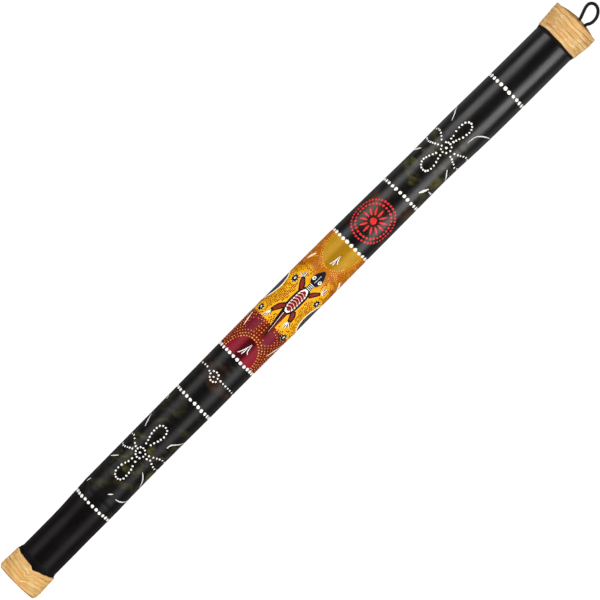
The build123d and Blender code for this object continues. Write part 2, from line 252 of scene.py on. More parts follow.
def ground_material(name, shine):
    b = Nodes(name)
    co = b.coords()
    sep = b.n("ShaderNodeSeparateXYZ")
    b.link(co, sep.inputs[0])
    x, y, z = sep.outputs
    phi = b.m("ARCTAN2", b.m("SUBTRACT", x, MID), b.m("MULTIPLY", y, -1.0))
    fold = b.m("WRAP", phi, PI / 2, -PI / 2)
    v = b.m("MULTIPLY", fold, 0.0295)
    ragged = b.m("MULTIPLY", b.m("SUBTRACT", b.noise(b.scaled(co, (260, 260, 260)), 1, 2), 0.5), 0.0016)
    zr = b.m("ADD", z, ragged)
    vr = b.m("ADD", v, ragged)

    def ellipse(cz, cv, az, av, soft=0.03, vv=None, zz=None):
        e = b.m("ADD",
                b.m("POWER", b.m("DIVIDE", b.m("SUBTRACT", zz if zz is not None else zr, cz), az), 2.0),
                b.m("POWER", b.m("DIVIDE", b.m("SUBTRACT", vv if vv is not None else vr, cv), av), 2.0))
        return b.step(e, 1 + soft, 1 - soft)

    def band(centre, half, soft):
        d = b.m("ABSOLUTE", b.m("SUBTRACT", z, centre))
        return b.step(d, half + soft, max(0.0, half - soft))

    streak = b.noise(b.scaled(co, (420, 420, 9)), 1, 4, 0.6)
    around = b.noise(b.scaled(co, (60, 60, 85), loc=(3.1, 0.4, 7.7)), 1, 2, 0.5, 0.15)
    cloud = b.noise(b.scaled(co, (30, 30, 46), loc=(5.1, 8.4, 2.7)), 1, 3, 0.55)
    cloud2 = b.noise(b.scaled(co, (60, 60, 60), loc=(9.1, 2.4, 1.7)), 1, 3, 0.6)
    # black ground, browner low down, worn to olive round the two flowers
    black = b.mix(streak, (0.0012, 0.0008, 0.0010), (0.0036, 0.0030, 0.0030))
    black = b.mix(b.m("MULTIPLY", band(0.08, 0.03, 0.09), 0.7), black, (0.0020, 0.0006, 0.0008))
    olive_at = b.m("ADD", band(0.228, 0.055, 0.05), b.m("MULTIPLY", band(0.735, 0.035, 0.045), 1.0), clamp=True)
    patch = b.m("MULTIPLY", b.step(around, 0.44, 0.70), b.step(cloud, 0.40, 0.60))
    olive = b.m("MULTIPLY", b.m("MULTIPLY", patch, olive_at), 0.95)
    black = b.mix(olive, black, b.mix(cloud2, (0.030, 0.032, 0.002), (0.115, 0.095, 0.016)))
    haze = b.m("MULTIPLY", b.m("MULTIPLY", b.step(cloud2, 0.50, 0.72), olive_at), 0.40)
    black = b.mix(haze, black, (0.020, 0.021, 0.012))
    rust_at = b.m("ADD", band(0.365, 0.022, 0.02), band(0.652, 0.02, 0.025), clamp=True)
    rust = b.m("MULTIPLY", b.m("MULTIPLY", b.step(cloud, 0.44, 0.66), rust_at), 0.42)
    black = b.mix(rust, black, (0.115, 0.046, 0.016))
    # middle panel
    fine = b.noise(b.scaled(co, (900, 900, 500)), 1, 3, 0.65)
    soft = b.noise(b.scaled(co, (120, 120, 70), loc=(1, 5, 2)), 1, 4, 0.6)
    red = b.mix(soft, (0.075, 0.003, 0.0005), (0.20, 0.013, 0.001))
    crimson = b.mix(soft, (0.155, 0.001, 0.008), (0.27, 0.005, 0.024))
    yellow = b.mix(soft, (0.68, 0.29, 0.0005), (0.88, 0.47, 0.001))
    orange = b.mix(soft, (0.33, 0.080, 0.0005), (0.52, 0.180, 0.001))
    ochre = b.mix(soft, (0.35, 0.170, 0.001), (0.50, 0.27, 0.004))
    middle = b.step(b.m("ABSOLUTE", b.m("ADD", vr, 0.0005)), 0.0105, 0.0035)
    crimson = b.mix(b.m("MULTIPLY", middle, 0.92), crimson, (0.040, 0.0004, 0.001))
    ochre = b.mix(b.m("MULTIPLY", middle, 0.60), ochre, (0.22, 0.095, 0.0015))
    field = b.mix(b.step(z, 0.516, 0.544), yellow, orange)
    # brighter round the lizard's fore feet
    glow = b.m("MULTIPLY", b.m("ADD", ellipse(0.5315, -0.0165, 0.012, 0.011, 0.5), ellipse(0.5315, 0.0215, 0.012, 0.011, 0.5), clamp=True), 0.7)
    field = b.mix(glow, field, yellow)
    field = b.mix(ellipse(0.5960, -0.0007, 0.0408, 0.0255), field, ochre)
    field = b.mix(b.step(zr, 0.4560, 0.4554), field, red)
    field = b.mix(ellipse(0.3944, -0.0005, 0.0312, 0.0240), field, crimson)
    for cz, cv in ((0.4405, -0.0170), (0.4405, 0.0135)):
        field = b.mix(b.m("MULTIPLY", ellipse(cz, cv, 0.0118, 0.0088, 0.45), 0.85), field, b.mix(soft, (0.115, 0.001, 0.012), (0.20, 0.004, 0.026)))
    side = b.m("SUBTRACT", b.m("ABSOLUTE", vr), 0.0295 * PI / 2)
    dark = b.mix(soft, (0.022, 0.024, 0.034), (0.060, 0.060, 0.080))
    lean = b.m("MULTIPLY", b.m("MULTIPLY", side, b.m("SIGN", vr)), -0.219)
    field = b.mix(ellipse(0.4945, 0.0, 0.0224, 0.0163, 0.03, vv=side, zz=b.m("ADD", zr, lean)), field, dark)
    inside = b.m("MULTIPLY", b.step(z, 0.3940, 0.3946), b.step(z, 0.5964, 0.5958))
    colour = b.mix(inside, black, field)
    colour = b.mix(b.m("MULTIPLY", b.step(fine, 0.60, 0.78), 0.05), colour, (0.30, 0.24, 0.18))
    rough = b.m("ADD", b.step(streak, 0.2, 0.8, 0.0, 0.06), b.step(b.noise(b.scaled(co, (70, 70, 20)), 1, 3), 0.3, 0.75, 0.27, 0.36))
    bump = b.bump(streak, 0.22, 0.00012)
    bump = b.bump(fine, 0.15, 0.00005, bump)
    return b.out(colour, rough, bump, Specular_IOR_Level=shine, Coat_Weight=0.0)


def paint(name, c0, c1, rough=0.42, bump=0.25, scale=700):
    """Hand-laid acrylic paint: slightly uneven in colour and surface."""
    b = Nodes(name)
    co = b.coords()
    n = b.noise(b.scaled(co, (scale, scale, scale * 0.7)), 1, 3, 0.6)
    big = b.noise(b.scaled(co, (90, 90, 90)), 1, 2, 0.5)
    col = b.mix(b.m("ADD", b.m("MULTIPLY", n, 0.6), b.m("MULTIPLY", big, 0.4)), c0, c1)
    return b.out(col, b.step(n, 0.3, 0.7, rough - 0.08, rough + 0.10), b.bump(n, bump, 0.00012))


def rattan_material(name, light, dark, shade):
    """Split cane: long fibres that follow the strip, with a few darker and paler ones."""
    b = Nodes(name)
    fib = b.n("ShaderNodeAttribute", attribute_name="fibre").outputs["Vector"]  # along, across, turn (mm)
    co = b.coords()
    fibre = b.noise(b.scaled(fib, (0.045, 2.1, 1.0)), 1, 5, 0.62, 0.15)
    fibre2 = b.noise(b.scaled(fib, (0.11, 5.6, 1.0), loc=(2, 9, 4)), 1, 3, 0.6)
    tone = b.noise(b.scaled(fib, (0.03, 0.22, 1.7), loc=(5, 1, 3)), 1, 3, 0.6)
    warm = b.noise(b.scaled(fib, (0.06, 0.30, 2.3), loc=(1, 4, 9)), 1, 2, 0.5)
    col = b.mix(b.step(tone, 0.34, 0.66), dark, light)
    col = b.mix(b.m("MULTIPLY", b.step(warm, 0.54, 0.70), 0.55), col, (0.72, 0.33, 0.095))
    col = b.mix(b.m("MULTIPLY", b.step(warm, 0.44, 0.30), 0.50), col, (0.86, 0.66, 0.32))
    patch = b.noise(b.scaled(co, (95, 95, 150), loc=(4, 1, 8)), 1, 3, 0.55, 0.4)
    patch2 = b.noise(b.scaled(co, (120, 120, 170), loc=(8, 3, 2)), 1, 3, 0.55, 0.4)
    col = b.mix(b.m("MULTIPLY", b.step(patch, 0.54, 0.68), 0.55), col, (0.80, 0.36, 0.12))
    col = b.mix(b.m("MULTIPLY", b.step(patch, 0.44, 0.30), 0.50), col, (0.88, 0.76, 0.44))
    col = b.mix(b.m("MULTIPLY", b.step(patch2, 0.56, 0.68), 0.42), col, (0.56, 0.34, 0.085))
    col = b.mix(b.m("MULTIPLY", b.step(patch2, 0.40, 0.28), 0.40), col, (0.90, 0.66, 0.42))
    col = b.mix(b.m("MULTIPLY", b.step(fibre, 0.50, 0.66), 0.62), col, shade)
    col = b.mix(b.m("MULTIPLY", b.step(fibre2, 0.54, 0.70), 0.35), col, (0.88, 0.68, 0.36))
    mark = b.noise(b.scaled(co, (150, 150, 420), loc=(7, 7, 1)), 1, 3, 0.5)
    col = b.mix(b.m("MULTIPLY", b.step(mark, 0.64, 0.76), 0.45), col, shade)
    # painted shade: the 'shade' attribute darkens the cane towards dark brown at the strips' edges, in stretches of the
    # seams between rows, on the strips' sides and along the lower binding's bottom rim
    layer = b.n("ShaderNodeAttribute", attribute_name="shade")
    col = b.mix(0.10, col, (0.20, 0.09, 0.015))
    col = b.mix(layer.outputs["Fac"], col, (0.10, 0.045, 0.010))
    bump = b.bump(fibre, 0.8, 0.00030)
    bump = b.bump(fibre2, 0.5, 0.00012, bump)
    return b.out(col, b.step(fibre, 0.3, 0.7, 0.40, 0.62), bump)


def wood_material(name, c0, c1, ring, rough=0.5):
    b = Nodes(name)
    co = b.coords()
    grain = b.noise(b.scaled(co, (60, 900, 60)), 1, 4, 0.6, 0.4)
    broad = b.n("ShaderNodeTexWave", wave_type="BANDS", bands_direction="X")
    b.link(b.scaled(co, (1, 0.12, 1)), broad.inputs["Vector"])
    broad.inputs["Scale"].default_value = ring
    broad.inputs["Distortion"].default_value = 5.0
    broad.inputs["Detail"].default_value = 3.0
    col = b.mix(b.m("ADD", b.m("MULTIPLY", broad.outputs["Fac"], 0.55), b.m("MULTIPLY", grain, 0.45)), c0, c1)
    pores = b.noise(b.scaled(co, (700, 2600, 700)), 1, 2, 0.5)
    col = b.mix(b.m("MULTIPLY", b.step(pores, 0.60, 0.72), 0.5), col, (0.06, 0.03, 0.012))
    return b.out(col, b.step(grain, 0.3, 0.7, rough - 0.08, rough + 0.12), b.bump(grain, 0.35, 0.0002))


def cloth_material(name, c0, c1, rough=0.7):
    b = Nodes(name)
    co = b.coords()
    sep = b.n("ShaderNodeSeparateXYZ")
    b.link(co, sep.inputs[0])
    phi = b.m("ARCTAN2", sep.outputs[0], b.m("MULTIPLY", sep.outputs[1], -1.0))
    weave = b.m("MULTIPLY", b.m("SINE", b.m("MULTIPLY", phi, 220.0)), b.m("SINE", b.m("MULTIPLY", sep.outputs[2], 7400.0)))
    n = b.noise(b.scaled(co, (260, 260, 260)), 1, 4, 0.6)
    col = b.mix(n, c0, c1)
    bump = b.bump(weave, 0.35, 0.00012)
    return b.out(col, b.step(n, 0.3, 0.7, rough - 0.2, rough), b.bump(n, 0.5, 0.0005, bump), Specular_IOR_Level=0.22)


def cord_material():
    b = Nodes("waxed_black_cord")
    co = b.coords()
    n = b.noise(b.scaled(co, (1400, 1400, 1400)), 1, 3, 0.6)
    col = b.mix(n, (0.0018, 0.0018, 0.0022), (0.008, 0.008, 0.009))
    return b.out(col, b.step(n, 0.3, 0.7, 0.42, 0.62), b.bump(n, 0.5, 0.0001), Specular_IOR_Level=0.22)


def kernel_material(name, c0, c1, scale):
    b = Nodes(name)
    co = b.coords()
    tone = b.noise(b.scaled(co, (scale, scale, scale)), 1, 2, 0.5)
    n = b.noise(b.scaled(co, (1100, 1100, 1100)), 1, 4, 0.6)
    col = b.mix(tone, c0, c1)
    col = b.mix(b.m("MULTIPLY", b.step(n, 0.56, 0.7), 0.4), col, (0.07, 0.03, 0.012))
    return b.out(col, b.step(n, 0.3, 0.7, 0.35, 0.6), b.bump(n, 0.4, 0.0002))


M_GROUND = ground_material("black_ground", 0.5)
M_PANEL = ground_material("painted_panel", 0.16)
M_WHITE = paint("white_dot_paint", (0.76, 0.73, 0.69), (0.90, 0.88, 0.85), 0.40)
M_LEAF = paint("thin_white_paint", (0.62, 0.60, 0.56), (0.88, 0.86, 0.82), 0.45)
M_CREAM = paint("cream_paint", (0.80, 0.68, 0.42), (0.93, 0.86, 0.66), 0.42)
M_AMBER = paint("amber_dot_paint", (0.74, 0.20, 0.040), (0.90, 0.36, 0.110), 0.40)
M_TANGERINE = paint("orange_dot_paint", (0.085, 0.003, 0.0004), (0.30, 0.022, 0.0004), 0.5)
M_GOLD = paint("gold_dot_paint", (0.78, 0.30, 0.020), (0.92, 0.48, 0.070), 0.40)
M_BLACKP = paint("black_outline_paint", (0.003, 0.0025, 0.0025), (0.008, 0.007, 0.007), 0.55)
M_NAVY = paint("blue_black_paint", (0.003, 0.004, 0.010), (0.008, 0.010, 0.022), 0.55)
M_RUST = paint("red_brown_paint", (0.13, 0.004, 0.003), (0.33, 0.016, 0.010), 0.5)
M_DARKRED = paint("dark_red_paint", (0.085, 0.002, 0.003), (0.24, 0.008, 0.009), 0.5)
for dull in (M_NAVY, M_BLACKP, M_TANGERINE, M_RUST, M_DARKRED):
    dull.node_tree.nodes["Principled BSDF"].inputs["Specular IOR Level"].default_value = 0.18
M_BONE = paint("white_marking_paint", (0.84, 0.80, 0.74), (0.93, 0.90, 0.86), 0.42)
M_PINK = paint("pink_white_paint", (0.74, 0.50, 0.44), (0.90, 0.74, 0.68), 0.42)
M_SALMON = paint("salmon_dot_paint", (0.34, 0.045, 0.008), (0.56, 0.11, 0.025), 0.45)
M_RED = paint("bright_red_paint", (0.52, 0.008, 0.012), (0.76, 0.018, 0.022), 0.38)
M_RATTAN_B = rattan_material("split_rattan_lower", (0.84, 0.54, 0.19), (0.66, 0.35, 0.085), (0.36, 0.17, 0.030))
M_RATTAN_T = rattan_material("split_rattan_upper", (0.72, 0.45, 0.165), (0.55, 0.29, 0.080), (0.33, 0.15, 0.030))
M_FIBRE = kernel_material("loose_cane_fibre", (0.60, 0.36, 0.12), (0.86, 0.62, 0.30), 320.0)
M_CAP = wood_material("turned_cap_wood", (0.56, 0.28, 0.070), (0.82, 0.46, 0.13), 42.0, 0.6)
M_BAND = cloth_material("glued_band_cloth", (0.0010, 0.0006, 0.0009), (0.0040, 0.0022, 0.0022), 0.66)
M_CORD = cord_material()
M_PIN = wood_material("raw_bamboo_pins", (0.50, 0.36, 0.18), (0.70, 0.55, 0.32), 260.0, 0.6)
M_KERNEL = kernel_material("dry_kernels", (0.30, 0.15, 0.055), (0.56, 0.36, 0.17), 190.0)
M_SEED = kernel_material("small_seeds", (0.42, 0.33, 0.17), (0.74, 0.63, 0.40), 240.0)


def give(node, mat):
    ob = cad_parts[node]
    ob.data.materials.clear()
    ob.data.materials.append(mat)


for k in range(1, 5):
    give(f"spiral_pins_{k}", M_PIN)
    give(f"kernels_{k}", M_KERNEL)
    give(f"seeds_{k}", M_SEED)
for node, mat in (
    ("end_cap_bottom", M_CAP), ("end_cap_top", M_CAP), ("cloth_band_bottom", M_BAND), ("cloth_band_top", M_BAND),
    ("hanging_cord_knots", M_CORD), ("hanging_cord_legs", M_CORD),
):
    give(node, mat)

# ------------------------------------------------------------------ hanging cord
# the loop's route, as in part.py, with a short run inside each hole
HINGE = (-24.4, 998.6)
LEG = Vector((0, -24.4 + 11.0, 998.6 - 978.5)).normalized()
LOOP = [
    (1.6, 998.6), (-0.3, 1003.6), (-2.4, 1009.2), (-4.2, 1014.6), (-4.4, 1019.6), (-1.8, 1023.6), (3.0, 1025.2),
    (8.0, 1023.7), (12.0, 1020.0), (14.6, 1015.1), (15.6, 1009.4), (14.8, 1003.8), (11.4, 998.6),
]
route = [Vector((x, HINGE[0], z)) for x, z in LOOP]
route = [route[0] - LEG * 4.2] + route + [route[-1] - LEG * 4.2]
curve = bpy.data.curves.new("loop_route", "CURVE")
curve.dimensions = "3D"
spline = curve.splines.new("NURBS")
spline.points.add(len(route) - 1)
for p, q in zip(spline.points, route):
    p.co = (q.x * 0.001, q.y * 0.001, q.z * 0.001, 1)
spline.order_u = 3
spline.use_endpoint_u = True
spline.resolution_u = 14
route_ob = bpy.data.objects.new("loop_route", curve)
scene.collection.objects.link(route_ob)
bpy.context.view_layer.update()
line = bpy.data.meshes.new_from_object(route_ob)
path = [Vector(v.co) for v in line.vertices]
bpy.data.objects.remove(route_ob)


def resample(points, step):
    pts = np.array([tuple(p) for p in points], float)
    d = np.concatenate([[0], np.cumsum(np.linalg.norm(np.diff(pts, axis=0), axis=1))])
    n = max(2, int(round(d[-1] / step)) + 1)
    q = np.linspace(0, d[-1], n)
    return np.stack([np.interp(q, d, pts[:, k]) for k in range(pts.shape[1])], -1), q


def cord_tube(points, radius, around=28, strands=8, lay=0.0062):
    """A round cord with a fine plaited cover: two sets of strands crossing."""
    pts, s = resample(points, 0.00028)
    tan = np.gradient(pts, axis=0)
    tan /= np.linalg.norm(tan, axis=1)[:, None]
    side = np.tile(np.array([0.0, 1.0, 0.0]), (len(pts), 1))
    side -= (side * tan).sum(1)[:, None] * tan
    side /= np.linalg.norm(side, axis=1)[:, None]
    other = np.cross(tan, side)
    a = np.linspace(0, 2 * PI, around, endpoint=False)
    A, S = np.meshgrid(a, s)
    w1 = np.abs(np.sin((A * strands + 2 * PI * S / lay) / 2))
    w2 = np.abs(np.sin((A * strands - 2 * PI * S / lay) / 2))
    rr = radius * (0.945 + 0.055 * np.maximum(w1, w2) ** 0.6)
    V = pts[:, None, :] + rr[..., None] * (np.cos(A)[..., None] * side[:, None, :] + np.sin(A)[..., None] * other[:, None, :])
    n = len(pts)
    verts = list(V.reshape(-1, 3))
    faces = grid_faces(n, around, True)
    faces.append(tuple(range(around))[::-1])
    faces.append(tuple((n - 1) * around + j for j in range(around)))
    return verts, faces


verts, faces = cord_tube(path, 0.00212)
cord = add_mesh("hanging_cord", verts, faces, M_CORD, body=None)
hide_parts("hanging_loop")
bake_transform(cord)

# ------------------------------------------------------------------ painted culm
NZ, NP = 700, 240
zs = np.linspace(3.0, 991.0, NZ)
ph = np.linspace(-PI, PI, NP, endpoint=False)
outer = skin(zs[:, None], ph[None, :]).reshape(-1, 3)
zi = np.linspace(3.0, 991.0, 90)
ri = hermite(zi, CULM[:, 0], CULM[:, 2]) - 4.6
for nz in NODE_Z:
    ri = ri - 1.6 * np.exp(-(((zi - nz) / 6.0) ** 4))
xi = hermite(zi, CULM[:, 0], CULM[:, 1])
inner = np.stack([
    xi[:, None] + ri[:, None] * np.sin(ph)[None, :], -ri[:, None] * np.cos(ph)[None, :],
    np.repeat(zi[:, None], NP, 1)], -1).reshape(-1, 3) * 0.001
faces = grid_faces(NZ, NP, True)
off = NZ * NP
faces += grid_faces(90, NP, True, off, flip=True)
for j in range(NP):
    k = (j + 1) % NP
    faces.append((k, j, off + j, off + k))
    t0, t1 = (NZ - 1) * NP, off + 89 * NP
    faces.append((t0 + j, t0 + k, t1 + k, t1 + j))
culm = add_mesh("painted_culm", np.concatenate([outer, inner]), faces, M_GROUND, replaces=("bamboo_tube",))
culm.data.materials.append(M_PANEL)
for poly in culm.data.polygons:
    if 0.3941 < poly.center.z < 0.5963:
        poly.material_index = 1

# ------------------------------------------------------------------ paint laid on the culm


class Layer:
    """Closed little lumps of paint of one colour, all in one mesh."""

    def __init__(self, name, mat):
        self.name, self.mat, self.v, self.f, self.n = name, mat, [], [], 0

    def dot(self, z, phi, r, h=None, rv=None, seg=None):
        rv = r if rv is None else rv
        h = 0.16 * r if h is None else h
        seg = seg or (18 if r > 1.6 else 12 if r > 0.9 else 8)
        a = np.linspace(0, 2 * PI, seg, endpoint=False)
        wob = 1 + 0.05 * np.sin(2 * a + z) + 0.03 * np.sin(3 * a + 7 * phi)
        R = radius_at(z)
        rings = ((1.0, -0.10), (1.0, 0.02), (0.90, 0.52 * h), (0.62, 0.86 * h)) if r > 0.9 else ((1.0, -0.08), (0.92, 0.40 * h), (0.55, 0.88 * h))
        for f, hh in rings:
            self.v.append(skin(z + r * f * wob * np.cos(a), phi + rv * f * wob * np.sin(a) / R, hh))
        self.v.append(skin(np.array([z]), np.array([phi]), h))
        b, m = self.n, len(rings)
        self.f.append(tuple(b + j for j in range(seg))[::-1])
        for i in range(m - 1):
            for j in range(seg):
                k = (j + 1) % seg
                self.f.append((b + i * seg + j, b + i * seg + k, b + (i + 1) * seg + k, b + (i + 1) * seg + j))
        top = b + m * seg
        for j in range(seg):
            self.f.append((b + (m - 1) * seg + j, b + (m - 1) * seg + (j + 1) % seg, top))
        self.n += m * seg + 1

    def stroke(self, pts, widths, h=0.15, across=5, step=1.0, square=False):
        """A tapered brush stroke through (z, phi) points; widths are at those points."""
        P = np.array(pts, float)
        if len(P) == 2:
            P = np.array([P[0], (P[0] + P[1]) / 2, P[1]])
            widths = [widths[0], (widths[0] + widths[-1]) / 2 if len(widths) == 2 else widths[1], widths[-1]]
        R = radius_at(float(P[:, 0].mean()))
        P[:, 1] *= R
        t = np.arange(len(P), dtype=float)
        d = np.linalg.norm(np.diff(P, axis=0), axis=1).sum()
        n = max(6, int(d / step) + 1)
        q = np.linspace(0, len(P) - 1, n)
        C = np.stack([hermite(q, t, P[:, 0]), hermite(q, t, P[:, 1])], -1)
        W = np.interp(q, t, np.array(widths, float)) / 2
        T = np.gradient(C, axis=0)
        T /= np.maximum(np.linalg.norm(T, axis=1)[:, None], 1e-9)
        N = np.stack([-T[:, 1], T[:, 0]], -1)
        u = np.linspace(-1, 1, across)
        crown = (1 - np.abs(u) ** (6 if square else 2.4))
        ends = np.minimum(1, np.minimum(np.arange(n), np.arange(n)[::-1]) / 1.5 + 0.25)
        pos = C[:, None, :] + N[:, None, :] * (W[:, None] * u[None, :])[..., None]
        hh = -0.05 + (h + 0.05) * crown[None, :] * ends[:, None]
        V = skin(pos[..., 0], pos[..., 1] / R, hh)
        B = skin(pos[:, [0, -1], 0], pos[:, [0, -1], 1] / R, -0.14)
        ring = np.concatenate([V, B[:, ::-1]], 1)
        m = across + 2
        self.v.append(ring.reshape(-1, 3))
        b = self.n
        for i in range(n - 1):
            for j in range(m):
                k = (j + 1) % m
                self.f.append((b + i * m + j, b + i * m + k, b + (i + 1) * m + k, b + (i + 1) * m + j))
        self.f.append(tuple(b + j for j in range(m))[::-1])
        self.f.append(tuple(b + (n - 1) * m + j for j in range(m)))
        self.n += n * m

    def make(self):
        if self.n:
            add_mesh(self.name, np.concatenate(self.v), self.f, self.mat)


white = Layer("white_dots", M_WHITE)
leaf = Layer("white_leaf_strokes", M_LEAF)
cream = Layer("cream_strokes", M_CREAM)
amber = Layer("amber_dots", M_AMBER)
tang = Layer("orange_dots", M_TANGERINE)
gold = Layer("gold_dots", M_GOLD)
blackp = Layer("black_outlines", M_BLACKP)
navy = Layer("blue_black_strokes", M_NAVY)
rust = Layer("red_brown_strokes", M_RUST)
darkred = Layer("dark_red_bars", M_DARKRED)
red = Layer("red_sun_motif", M_RED)
bone = Layer("white_markings", M_BONE)
pink = Layer("pink_white_lines", M_PINK)
salmon = Layer("small_salmon_dots", M_SALMON)
rnd = random.Random(21)
HALVES = (0.0, PI)  # the same painting on the front and on the back


def j(x):
    return rnd.uniform(-x, x)


# rings of white dots round the stick
for z, r, n in ((137.0, 2.36, 27), (317.5, 2.44, 26), (394.4, 2.46, 28), (596.0, 2.60, 25), (685.5, 2.50, 26), (871.2, 2.64, 25)):
    start = rnd.uniform(0, 1)
    for k in range(n):
        phi = 2 * PI * (k + start) / n + j(0.012)
        lean = 1.2 * math.sin(phi + z)
        white.dot(z + lean * 0.5 + j(0.35), phi, r * rnd.uniform(0.86, 1.10), rv=r * rnd.uniform(0.86, 1.04), h=0.42)


# the two flowers: a dotted ring and four dotted petals, as (height, x) seen from the front
FLOWER_1 = [
    (227.9, -15.0), (230.0, -18.5), (233.7, -22.8), (236.2, -26.4), (235.8, -29.0), (222.6, -15.9), (221.3, -18.9), (219.8, -21.6),
    (218.3, -24.4), (217.4, -27.0), (218.6, -29.0),
    (258.1, -12.6), (253.3, -12.2), (248.6, -10.8), (244.4, -9.4), (239.8, -8.1), (262.7, -12.3), (267.1, -11.4),
    (270.2, -8.5), (270.9, -4.4), (269.4, -0.3), (265.8, 1.6), (260.7, 2.4), (255.8, 1.7), (251.4, 0.8), (246.8, -1.0), (242.0, -2.4),
    (214.0, -7.5), (208.6, -8.0), (204.2, -9.6), (199.2, -11.2), (193.7, -11.7), (188.8, -11.0), (185.2, -8.6), (183.4, -5.4),
    (183.3, -2.0), (185.0, 1.0), (188.6, 2.9), (193.6, 3.1), (198.4, 2.6), (203.1, 1.7), (207.6, 0.2), (213.7, -1.6),
    (230.8, 5.8), (226.1, 6.3), (227.8, 10.7), (233.3, 10.9), (225.8, 14.9), (235.4, 14.8), (237.0, 18.0), (224.1, 19.0),
    (238.2, 21.7), (223.4, 22.1), (224.4, 25.2), (237.6, 25.0), (231.5, 26.6),
]
HEART_1 = [(219.7, -4.5), (220.8, -8.0), (223.7, -10.4), (227.9, -11.1), (231.4, -9.5), (232.9, -6.5), (232.4, -3.0), (229.3, 0.7), (225.1, 1.3), (220.8, -1.0)]
FLOWER_2 = [
    (762.1, -13.7), (760.4, -17.1), (759.0, -19.8), (757.8, -22.5), (757.1, -25.1), (757.5, -27.5), (758.7, -29.1), (769.6, -14.9), (772.6, -18.1), (775.1, -21.4), (776.8, -24.6), (776.9, -27.1), (775.7, -28.9),
    (795.6, -10.0), (789.9, -9.3), (783.3, -7.6), (778.9, -7.0), (800.8, -9.6), (805.3, -8.6), (808.8, -5.6), (809.7, -2.2),
    (807.6, 1.2), (804.2, 3.2), (799.9, 4.0), (795.5, 3.2), (790.1, 2.5), (785.4, 0.6), (781.4, -0.9), (777.6, -2.0),
    (752.8, -7.8), (748.7, -9.7), (744.3, -11.6), (740.5, -12.9), (736.6, -13.6), (732.7, -13.2), (729.2, -10.9), (727.0, -8.0), (726.2, -4.4),
    (727.3, -1.4), (729.9, 0.6), (734.1, 1.7), (739.5, 1.4), (744.7, 0.5), (749.6, -1.0), (754.2, -2.2),
    (762.0, 8.2), (768.1, 9.5), (761.0, 11.9), (770.0, 13.6), (759.4, 14.9), (771.8, 16.8), (758.3, 17.8), (773.9, 19.9), (756.0, 21.4),
    (775.4, 23.2), (757.5, 24.8), (774.8, 25.8), (766.0, 27.0),
]
HEART_2 = [(770.9, -8.4), (764.3, -9.2), (760.6, -6.9), (759.2, -2.9), (761.6, 1.2), (766.9, 3.1), (771.4, 1.0), (773.0, -2.9), (772.8, -6.0)]
for petals, heart, centre in ((FLOWER_1, HEART_1, (226.2, -5.6)), (FLOWER_2, HEART_2, (766.1, -3.0))):
    for pts, r in ((petals, 1.32), (heart, 1.24), ([centre], 1.50)):
        for z, x in pts:
            for half in HALVES:
                zz, p = front(z + j(0.12), x + j(0.12))
                white.dot(zz, p + half, r * rnd.uniform(0.92, 1.12), h=0.34)

# small dotted crossing line with its dotted circle
CROSS = [
    (361.2, -29.4), (361.9, -25.5), (361.9, -21.7), (359.8, -16.4), (358.6, -12.8), (354.7, -10.6), (352.6, -6.9), (352.9, -3.2),
    (355.3, -0.6), (359.8, -1.6), (364.0, -3.9), (364.9, -8.0), (363.4, -11.9), (360.2, 3.1), (360.1, 7.6), (360.1, 11.8),
    (359.9, 15.8), (359.9, 19.7), (359.4, 23.0), (358.2, 25.6),
]
for z, x in CROSS + [(358.2, -7.2)]:
    for half in HALVES:
        zz, p = front(z + j(0.15), x + j(0.15))
        white.dot(zz, p + half, 1.28 * rnd.uniform(0.9, 1.12), h=0.32)

# leaf strokes round the flowers: (height, x) seen from the front, widths
LEAVES = [
    ([(153.6, -27.6), (159.9, -26.6)], [0.4, 1.5, 0.6]),
    ([(196.7, -29.0), (201.0, -25.5), (205.0, -22.0)], [0.4, 1.5, 0.4]),
    ([(160.6, 3.1), (163.0, 5.2), (165.4, 8.0)], [0.4, 1.3, 0.5]),
    ([(162.6, 14.3), (164.7, 21.3), (171.7, 26.6)], [0.4, 1.7, 0.5]),
    ([(210.6, 14.3), (203.6, 21.3), (192.5, 25.4)], [0.5, 1.7, 0.5]),
    ([(253.6, -24.5), (262.0, -27.4), (270.3, -29.7)], [0.5, 1.7, 0.4]),
    ([(296.7, -29.7), (302.2, -30.6)], [0.6, 1.6, 0.5]),
    ([(253.6, 15.0), (261.3, 17.1), (274.4, 26.1)], [1.2, 1.6, 0.5]),
    ([(735.5, -30.4), (744.6, -25.5)], [0.4, 2.0, 0.7]),
    ([(702.2, 12.2), (708.0, 15.0), (714.7, 17.8)], [0.6, 3.4, 0.6]),
    ([(711.9, 19.9), (712.2, 24.7)], [0.4, 1.6, 0.9]),
    ([(748.0, 17.1), (743.0, 20.6), (738.3, 24.1)], [0.4, 1.6, 0.5]),
    ([(795.7, -22.7), (805.0, -26.5), (814.0, -30.4)], [0.5, 1.7, 0.5]),
    ([(736.9, -29.6), (744.5, -25.3)], [0.4, 1.6, 0.5]),
    ([(746.8, 17.2), (736.1, 24.9)], [0.4, 1.5, 0.5]),
    ([(789.6, 11.4), (801.8, 13.4), (809.5, 20.3), (814.0, 27.2)], [0.4, 0.8, 1.5, 0.4]),
]
for pts, w in LEAVES:
    for half in HALVES:
        q = [front(z, x) for z, x in pts]
        leaf.stroke([(z, p + half) for z, p in q], [1.45 * x * rnd.uniform(0.9, 1.1) for x in w], 0.14)

# ------------------------------------------------------------------ middle panel


def P(x, y):
    """Panel grid of 7.2 squares to the mm: x up the stick, y across it."""
    return front(342.5 + 0.13889 * x, -45.7 + 0.1395 * y)


keep_out = []  # (z, v, radius): nothing is dotted in here


def block(points, r):
    for (z0, p0), (z1, p1) in zip(points, points[1:]):
        n = max(1, int(math.hypot(z1 - z0, (p1 - p0) * 29.5) / 1.5))
        for k in range(n + 1):
            f = k / n
            keep_out.append((z0 + f * (z1 - z0), (p0 + f * (p1 - p0)) * 29.5, r))


